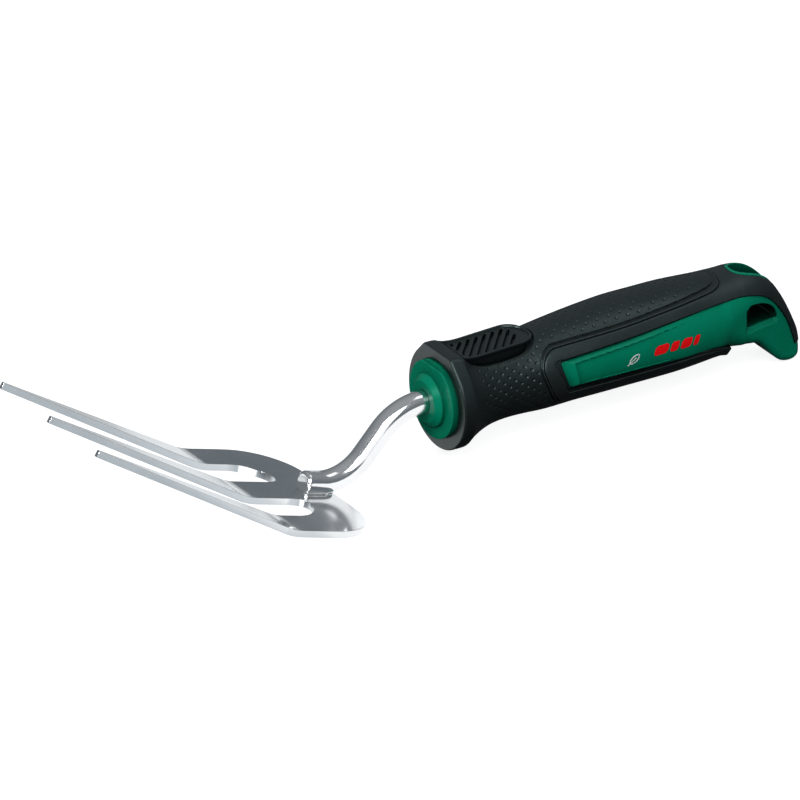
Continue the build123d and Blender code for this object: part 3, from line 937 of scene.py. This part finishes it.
def make_rod():
    line, s, L = rod_line()
    tan = np.gradient(line, axis=0)
    tan /= np.linalg.norm(tan, axis=1, keepdims=True)
    R, seg_n = 4.25, 72
    rows, rr = [], []
    fr = 1.3                      # rounding of the front end
    for a in np.linspace(0, 90, 7)[:-1]:
        rr.append((-fr * math.cos(math.radians(90 - a)) * 0 + fr * (1 - math.sin(math.radians(a))), R - fr + fr * math.sin(math.radians(a)) * 0 + fr * (1 - 1 + math.sin(math.radians(a)) * 0)))
    rings = []
    for a in np.linspace(0, 90, 8)[:-1]:
        t = math.radians(a)
        rings.append((fr * (1 - math.sin(t)), R - fr * (1 - math.sin(t)), a))
    # end cap profile: distance from the end, radius
    cap = [(0.0, 0.6), (0.0, 1.6), (0.0, R - fr)]
    for a in np.linspace(0, 90, 8)[1:]:
        t = math.radians(a)
        cap.append((fr * (1 - math.cos(t)), R - fr + fr * math.sin(t)))
    prof = cap + [(x, R) for x in s if x > fr + 0.15][:-1] + [(L - 0.6, R), (L - 0.2, R - 0.35), (L, R - 0.9), (L, 1.2), (L, 0.5)]
    V = []
    for d, r in prof:
        c = np.array([np.interp(d, s, line[:, 0]), np.interp(d, s, line[:, 1])])
        t = np.array([np.interp(d, s, tan[:, 0]), np.interp(d, s, tan[:, 1])])
        t /= np.linalg.norm(t)
        up = np.array([-t[1], t[0]])
        ang = np.arange(seg_n) * 2 * math.pi / seg_n
        V.append(np.stack([c[0] + up[0] * r * np.sin(ang), r * np.cos(ang), c[1] + up[1] * r * np.sin(ang)], 1))
    V = np.array(V)
    m = len(V)
    V = V.reshape(-1, 3)
    q = []
    for i in range(m - 1):
        for j in range(seg_n):
            k = (j + 1) % seg_n
            q.append((i * seg_n + j, i * seg_n + k, (i + 1) * seg_n + k, (i + 1) * seg_n + j))
    # lie flat on the sheet: nothing under its top face
    dx, dz = V[:, 0] - PX, V[:, 2] - PZ
    loc_x = dx * math.cos(PA) - dz * math.sin(PA)
    loc_z = dx * math.sin(PA) + dz * math.cos(PA)
    low = (loc_z < 0.02) & (loc_x < 0.5)
    lift = np.where(low, 0.02 - loc_z, 0)
    V[:, 0] += lift * math.sin(PA)
    V[:, 2] += lift * math.cos(PA)
    # anti-turn flats inside the handle
    flat = (V[:, 0] > 58) & (V[:, 0] < 74)
    V[flat, 1] = np.clip(V[flat, 1], -3.35, 3.35)
    c0, c1 = len(V), len(V) + 1
    V = np.vstack([V, V[:seg_n].mean(0), V[(m - 1) * seg_n:m * seg_n].mean(0)])
    q = np.array(q)
    me = bpy.data.meshes.new("tang")
    tri0 = [(c0, (j + 1) % seg_n, j) for j in range(seg_n)]
    b = (m - 1) * seg_n
    tri1 = [(c1, b + j, b + (j + 1) % seg_n) for j in range(seg_n)]
    me.from_pydata([tuple(p) for p in world(V)], [], [tuple(f) for f in q] + tri0 + tri1)
    me.validate()
    bm = bmesh.new()
    bm.from_mesh(me)
    bmesh.ops.recalc_face_normals(bm, faces=bm.faces)
    bm.to_mesh(me)
    bm.free()
    me.polygons.foreach_set("use_smooth", np.ones(len(me.polygons), bool))
    at = me.attributes.new("handle_mm", "FLOAT_VECTOR", "POINT")
    at.data.foreach_set("vector", V.astype(np.float32).ravel())
    ob = bpy.data.objects.new("tang", me)
    bpy.context.scene.collection.objects.link(ob)
    me.materials.append(STEEL_ROD)
    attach(ob, "root")
    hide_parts("tang_rod")
    return line


ROD = make_rod()


# ------------------------------------------------------------------ weld bead round the rod's foot
def f_weld(F):
    """In the plate frame: a soft fillet between the sheet and the rod."""
    x, y, z = F.x, F.y, F.z
    # rod axis in the plate frame, as straight pieces
    best = np.full(np.broadcast(x, y, z).shape, 9e9)
    for a, b in zip(ROD_P[:-1], ROD_P[1:]):
        e = b - a
        t = np.clip(((x - a[0]) * e[0] + (z - a[1]) * e[1]) / (e @ e), 0, 1)
        best = np.minimum(best, (x - a[0] - e[0] * t) ** 2 + (z - a[1] - e[1] * t) ** 2 + y * y * 1.0)
    rod = np.sqrt(best) - 4.25
    rod = np.maximum(rod, FOOT_X - x)
    k = 0.05 + 1.0 * smooth(-1.8, -4.5, x) * smooth(-14.6, -13.4, x)
    bead = rmin(rod + 0.03, z + 0.03, k)         # smooth union of rod and sheet, dying out up the rod
    bead = np.maximum(bead, -(rod + 0.35))       # only the added fillet
    ends = np.maximum(np.maximum(-14.6 - x, x + 1.7), np.abs(y) - 6.6)
    return np.maximum(np.maximum(bead, ends), -0.05 - z)


def to_plate(line):
    dx, dz = line[:, 0] - PX, line[:, 1] - PZ
    return np.stack([dx * math.cos(PA) - dz * math.sin(PA), dx * math.sin(PA) + dz * math.cos(PA)], 1)


ROD_P = to_plate(ROD)
FOOT_X = -12.0
ROD_P = ROD_P[ROD_P[:, 0] < 6][::6]
wv, wq, wn = net(f_weld, (-15.2, -7, -0.2), (-1.2, 7, 4.6), 0.16 * FINE, newton=1)
wh = plate_to_handle(wv)
c_, s_ = math.cos(PA), math.sin(PA)
wn = np.stack([wn[:, 0] * c_ + wn[:, 2] * s_, wn[:, 1], -wn[:, 0] * s_ + wn[:, 2] * c_], 1)
weld = mesh_piece("foot_bead", wh, wq, wn, STEEL_WELD)
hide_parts("foot_weld")


# ------------------------------------------------------------------ printed mark: a plain leaf and a row of slanted dashes
def on_panel(X, Z, side):
    """Points of the side panel's surface at side-view positions X, Z."""
    X, Z = np.asarray(X, float).ravel(), np.asarray(Z, float).ravel()
    a, b = np.full(X.shape, 6.0), np.full(X.shape, 19.0)
    for _ in range(26):
        m = (a + b) / 2
        v = f_core(Flat(X, side * m, Z))
        ins = v < 0
        a, b = np.where(ins, m, a), np.where(ins, b, m)
    return np.stack([X, side * (a + b) / 2, Z], 1)


def strip_mesh(name, strips, mat, side, t=0.07):
    """Each strip is an (n, m, 2) grid of side-view points: closed thin print on the panel."""
    V, Q = [], []
    for g in strips:
        n, m, _ = g.shape
        p = on_panel(g[..., 0], g[..., 1], side)
        e = 0.05
        base = len(V) and sum(len(v) for v in V)
        top = p + np.array([0, side * t, 0])
        low = p - np.array([0, side * 0.05, 0])
        V.append(np.vstack([top, low]))
        k = n * m
        idx = np.arange(k).reshape(n, m) + base
        for i in range(n - 1):
            for j in range(m - 1):
                q = (idx[i, j], idx[i + 1, j], idx[i + 1, j + 1], idx[i, j + 1])
                Q.append(q)
                Q.append(tuple(r + k for r in reversed(q)))
        edge = [idx[i, 0] for i in range(n)] + [idx[n - 1, j] for j in range(1, m)] + [idx[i, m - 1] for i in range(n - 2, -1, -1)] + [idx[0, j] for j in range(m - 2, 0, -1)]
        for a, b in zip(edge, edge[1:] + edge[:1]):
            Q.append((a, a + k, b + k, b))
    V = np.vstack(V)
    ob = mesh_piece(name, V, np.array(Q), None, mat)
    bm = bmesh.new()
    bm.from_mesh(ob.data)
    bmesh.ops.recalc_face_normals(bm, faces=bm.faces)
    bm.to_mesh(ob.data)
    bm.free()
    ob.data.polygons.foreach_set("use_smooth", np.zeros(len(ob.data.polygons), bool))
    return ob


def slanted(x0, x1, zc, half, lean, slope, n=14, m=6, rnd=0.22):
    """A rounded slanted dash."""
    u = np.linspace(-1, 1, n)[:, None]
    v = np.linspace(-1, 1, m)[None, :]
    su = u * np.ones_like(v)
    sv = v * np.ones_like(u)
    k = 1 - rnd * (np.abs(su) ** 6) * (np.abs(sv) ** 6)
    X = (x0 + x1) / 2 + (x1 - x0) / 2 * su * k + lean * sv * half * k
    Z = zc + (X - x0) * slope + sv * half * k
    return np.stack([X, Z], -1)


def leaf(cx, cz, size, lean):
    """Outline of a pointed leaf with a midrib, as narrow strips."""
    t = np.linspace(0, 1, 26)
    wdt = 0.46 * np.sin(np.pi * t) ** 0.8 * size
    ax = (t - 0.5) * 2 * size
    w = 0.16 * size
    out = []
    ca, sa = math.cos(lean), math.sin(lean)

    def put(a, b):
        return np.stack([cx + a * ca - b * sa, cz + a * sa + b * ca], -1)

    for sgn in (1, -1):
        o = put(ax, sgn * (wdt + w * 0.5))
        i = put(ax, sgn * np.maximum(wdt - w * 0.5, 0.02 * size))
        out.append(np.stack([o, i], 1))
    ax2 = np.linspace(-1.35, 0.35, 12) * size
    out.append(np.stack([put(ax2, np.full(12, w * 0.36)), put(ax2, np.full(12, -w * 0.36))], 1))
    return out


for side, tag in ((-1, "right"), (1, "left")):
    strip_mesh("print_leaf_" + tag, leaf(76.4, 3.1, 2.5, math.radians(38)), WHITE, side)
    xs, dashes = 84.6, []
    for ln in (5.6, 3.2, 4.4, 2.2):
        dashes.append(slanted(xs, xs + ln, 4.1, 1.75, 0.35, 0.03))
        xs += ln + 1.0
    strip_mesh("print_dashes_" + tag, dashes, RED, side)

# ------------------------------------------------------------------ floor, light, camera
floor_me = bpy.data.meshes.new("studio_floor")
S = 6.0
floor_me.from_pydata([(-S, -S, 0), (S, -S, 0), (S, S, 0), (-S, S, 0)], [], [(0, 1, 2, 3)])
floor = bpy.data.objects.new("studio_floor", floor_me)
bpy.context.scene.collection.objects.link(floor)
fm = bpy.data.materials.new("floor_white")
fm.use_nodes = True
nt = fm.node_tree
nt.nodes.clear()
fo = nt.nodes.new("ShaderNodeOutputMaterial")
fa = nt.nodes.new("ShaderNodeAddShader")
fd = nt.nodes.new("ShaderNodeBsdfDiffuse")
fd.inputs["Color"].default_value = (0.42, 0.42, 0.42, 1)
fe = nt.nodes.new("ShaderNodeEmission")
fe.inputs["Color"].default_value = (1, 1, 1, 1)
fe.inputs["Strength"].default_value = 0.86
nt.links.new(fd.outputs[0], fa.inputs[0])
nt.links.new(fe.outputs[0], fa.inputs[1])
nt.links.new(fa.outputs[0], fo.inputs[0])
floor_me.materials.append(fm)
floor.visible_diffuse = False
floor.visible_glossy = False
floor.visible_shadow = False

wd = bpy.data.worlds.new("studio")
bpy.context.scene.world = wd
wd.use_nodes = True
wt = wd.node_tree
wt.nodes.clear()
wo = wt.nodes.new("ShaderNodeOutputWorld")
wb = wt.nodes.new("ShaderNodeBackground")
wb.inputs["Color"].default_value = (0.155, 0.172, 0.190, 1)
wb.inputs["Strength"].default_value = 1.0
wtc = wt.nodes.new("ShaderNodeTexCoord")
wsx = wt.nodes.new("ShaderNodeSeparateXYZ")
wrp = wt.nodes.new("ShaderNodeValToRGB")
wmr = wt.nodes.new("ShaderNodeMapRange")
wmr.inputs["From Min"].default_value = -1.0
wmr.inputs["From Max"].default_value = 1.0
wt.links.new(wtc.outputs["Generated"], wsx.inputs[0])
wt.links.new(wsx.outputs["Z"], wmr.inputs["Value"])
wt.links.new(wmr.outputs["Result"], wrp.inputs["Fac"])
sky = wrp.color_ramp.elements
sky[0].position, sky[1].position = 0.0, 1.0
for pp in (0.46, 0.53, 0.62):
    sky.new(pp)
for e, cc in zip(sky, [(0.012, 0.013, 0.014, 1), (0.05, 0.055, 0.06, 1), (0.150, 0.170, 0.187, 1), (0.158, 0.178, 0.194, 1), (0.34, 0.355, 0.37, 1)]):
    e.color = cc
wt.links.new(wrp.outputs["Color"], wb.inputs["Color"])
wc = wt.nodes.new("ShaderNodeBackground")
wc.inputs["Color"].default_value = (1, 1, 1, 1)
lp = wt.nodes.new("ShaderNodeLightPath")
wm = wt.nodes.new("ShaderNodeMixShader")
wt.links.new(lp.outputs["Is Camera Ray"], wm.inputs[0])
wt.links.new(wb.outputs[0], wm.inputs[1])
wt.links.new(wc.outputs[0], wm.inputs[2])
wt.links.new(wm.outputs[0], wo.inputs[0])

CENTRE = Vector((0.0, 0.0, 0.03))


def area(name, direction, dist, sx, sy, power, only=None, color=(1, 1, 1), roll=0.0):
    """Soft light seen from the object along direction (handle frame)."""
    d = Vector(world_dir(np.array(direction, float))).normalized()
    li = bpy.data.lights.new(name, "AREA")
    li.shape = "RECTANGLE"
    li.size, li.size_y = sx, sy
    li.energy = power * sx * sy * math.pi
    li.color = color
    ob = bpy.data.objects.new(name, li)
    bpy.context.scene.collection.objects.link(ob)
    ob.location = CENTRE + d * dist
    ob.rotation_euler = d.to_track_quat("Z", "Y").to_euler()
    ob.visible_camera = False
    if only is not None:
        ob.light_linking.receiver_collection = only
    return ob


steel_set = bpy.data.collections.new("steel_light_set")
for n in ("fork_plate", "tang", "foot_bead"):
    steel_set.objects.link(bpy.data.objects[n])

grip_set = bpy.data.collections.new("grip_light_set")
grip_set.objects.link(bpy.data.objects["dotted_grip"])

# power here is the light's radiance
area("key_top", (-0.30, -0.70, 0.64), 1.6, 1.2, 0.8, 5.2)
area("sheen_top", (0.46, -0.16, 0.87), 1.6, 0.6, 0.6, 1.2)
area("fill_front", (-0.86, -0.16, 0.46), 1.7, 0.40, 0.40, 19.0)
area("card_face", (-0.474, 0.765, -0.435), 0.9, 0.8, 0.8, 0.85, only=grip_set)
area("card_camera", (-0.55, -0.80, 0.10), 2.6, 3.4, 2.0, 1.0, only=steel_set)

# bright card that the heel's near corner mirrors
RD = np.array([0.63, 0.765, 0.133])
AD = np.array([0.772, -0.636, 0.0])
spot = np.array([-45.0, 0.0, -24.5]) + 260 * RD / np.linalg.norm(RD) + 75 * AD
li = bpy.data.lights.new("card_heel", "AREA")
li.shape = "RECTANGLE"
li.size, li.size_y = 0.12, 0.12
li.energy = 1.05 * 0.12 * 0.12 * math.pi
ch = bpy.data.objects.new("card_heel", li)
bpy.context.scene.collection.objects.link(ch)
ch.location = Vector(world(spot))
ch.rotation_euler = Vector(world_dir(RD)).to_track_quat("Z", "Y").to_euler()
ch.visible_camera = False
ch.light_linking.receiver_collection = steel_set

# what polished steel sees of the white table: level sheets of light just under the floor, fading to the back
for tag, y0, y1, lum in (("front", -3.2, 0.03, 1.10), ("middle", 0.03, 0.16, 0.84), ("back", 0.16, 1.1, 0.52)):
    li = bpy.data.lights.new("card_table_" + tag, "AREA")
    li.shape = "RECTANGLE"
    li.size, li.size_y = 5.0, y1 - y0
    li.energy = lum * li.size * li.size_y * math.pi
    li.color = (0.955, 0.985, 1.0) if tag != "front" else (1, 1, 1)
    tb = bpy.data.objects.new("card_table_" + tag, li)
    bpy.context.scene.collection.objects.link(tb)
    tb.location = (0.0, (y0 + y1) / 2, -0.010)
    tb.rotation_euler = (math.pi, 0, 0)
    tb.visible_camera = False
    tb.light_linking.receiver_collection = steel_set
    if tag == "front":
        # the table in front is not evenly lit: dimmer under the tips, full white under the heel
        li.use_nodes = True
        ln = li.node_tree
        em = [n for n in ln.nodes if n.type == "EMISSION"][0]
        geo = ln.nodes.new("ShaderNodeNewGeometry")
        sx = ln.nodes.new("ShaderNodeSeparateXYZ")
        ln.links.new(geo.outputs["Position"], sx.inputs[0])

        def span(out, a, b):
            r = ln.nodes.new("ShaderNodeMapRange")
            r.inputs["From Min"].default_value = a
            r.inputs["From Max"].default_value = b
            ln.links.new(out, r.inputs["Value"])
            return r.outputs["Result"]

        rp = ln.nodes.new("ShaderNodeValToRGB")
        ln.links.new(span(sx.outputs["X"], -0.080, 0.0), rp.inputs["Fac"])
        tones = [(0.06, 0.47), (0.15, 0.51), (0.24, 0.60), (0.32, 0.66), (0.42, 0.72), (0.475, 1.0)]
        els = rp.color_ramp.elements
        els[0].position, els[1].position = tones[0][0], tones[-1][0]
        for t in tones[1:-1]:
            els.new(t[0])
        for e, (t, v) in zip(els, tones):
            w = (v - 0.47) / 0.53
            e.color = (v * (0.913 + 0.087 * w), v, min(1.0, v * (1.055 - 0.055 * w)), 1)
        ml = ln.nodes.new("ShaderNodeMath")
        ml.operation = "MULTIPLY"
        ln.links.new(span(sx.outputs["X"], -0.064, -0.050), ml.inputs[0])
        ln.links.new(span(sx.outputs["Y"], -0.075, -0.090), ml.inputs[1])
        mh = ln.nodes.new("ShaderNodeMath")
        mh.operation = "MULTIPLY"
        ln.links.new(ml.outputs[0], mh.inputs[0])
        mh.inputs[1].default_value = 0.85
        mx = ln.nodes.new("ShaderNodeMixRGB")
        ln.links.new(mh.outputs[0], mx.inputs["Fac"])
        ln.links.new(rp.outputs["Color"], mx.inputs["Color1"])
        mx.inputs["Color2"].default_value = (1, 1, 1, 1)
        ln.links.new(mx.outputs[0], em.inputs["Color"])

cam = bpy.data.cameras.new("camera")
cam_ob = bpy.data.objects.new("camera", cam)
bpy.context.scene.collection.objects.link(cam_ob)
back = np.array([-0.4744, -0.7652, 0.4352])
right = np.array([0.8499, -0.5270, 0.0])
up = np.cross(back, right)
back, right, up = back / np.linalg.norm(back), right / np.linalg.norm(right), up / np.linalg.norm(up)
mid = right * (-24.4 / 2.88) + up * (1.0 / 2.88)
pos = world(mid + back * 12500.0)
rb, rr_, ru = world_dir(back), world_dir(right), world_dir(up)
cam_ob.matrix_world = Matrix(((rr_[0], ru[0], rb[0], pos[0]), (rr_[1], ru[1], rb[1], pos[1]), (rr_[2], ru[2], rb[2], pos[2]), (0, 0, 0, 1)))
cam.sensor_width = 36.0
cam.lens = 1629.8
cam.clip_start, cam.clip_end = 0.02, 200.0
bpy.context.scene.camera = cam_ob
bpy.context.scene.view_settings.view_transform = "Standard"
bpy.context.scene.view_settings.look = "None"
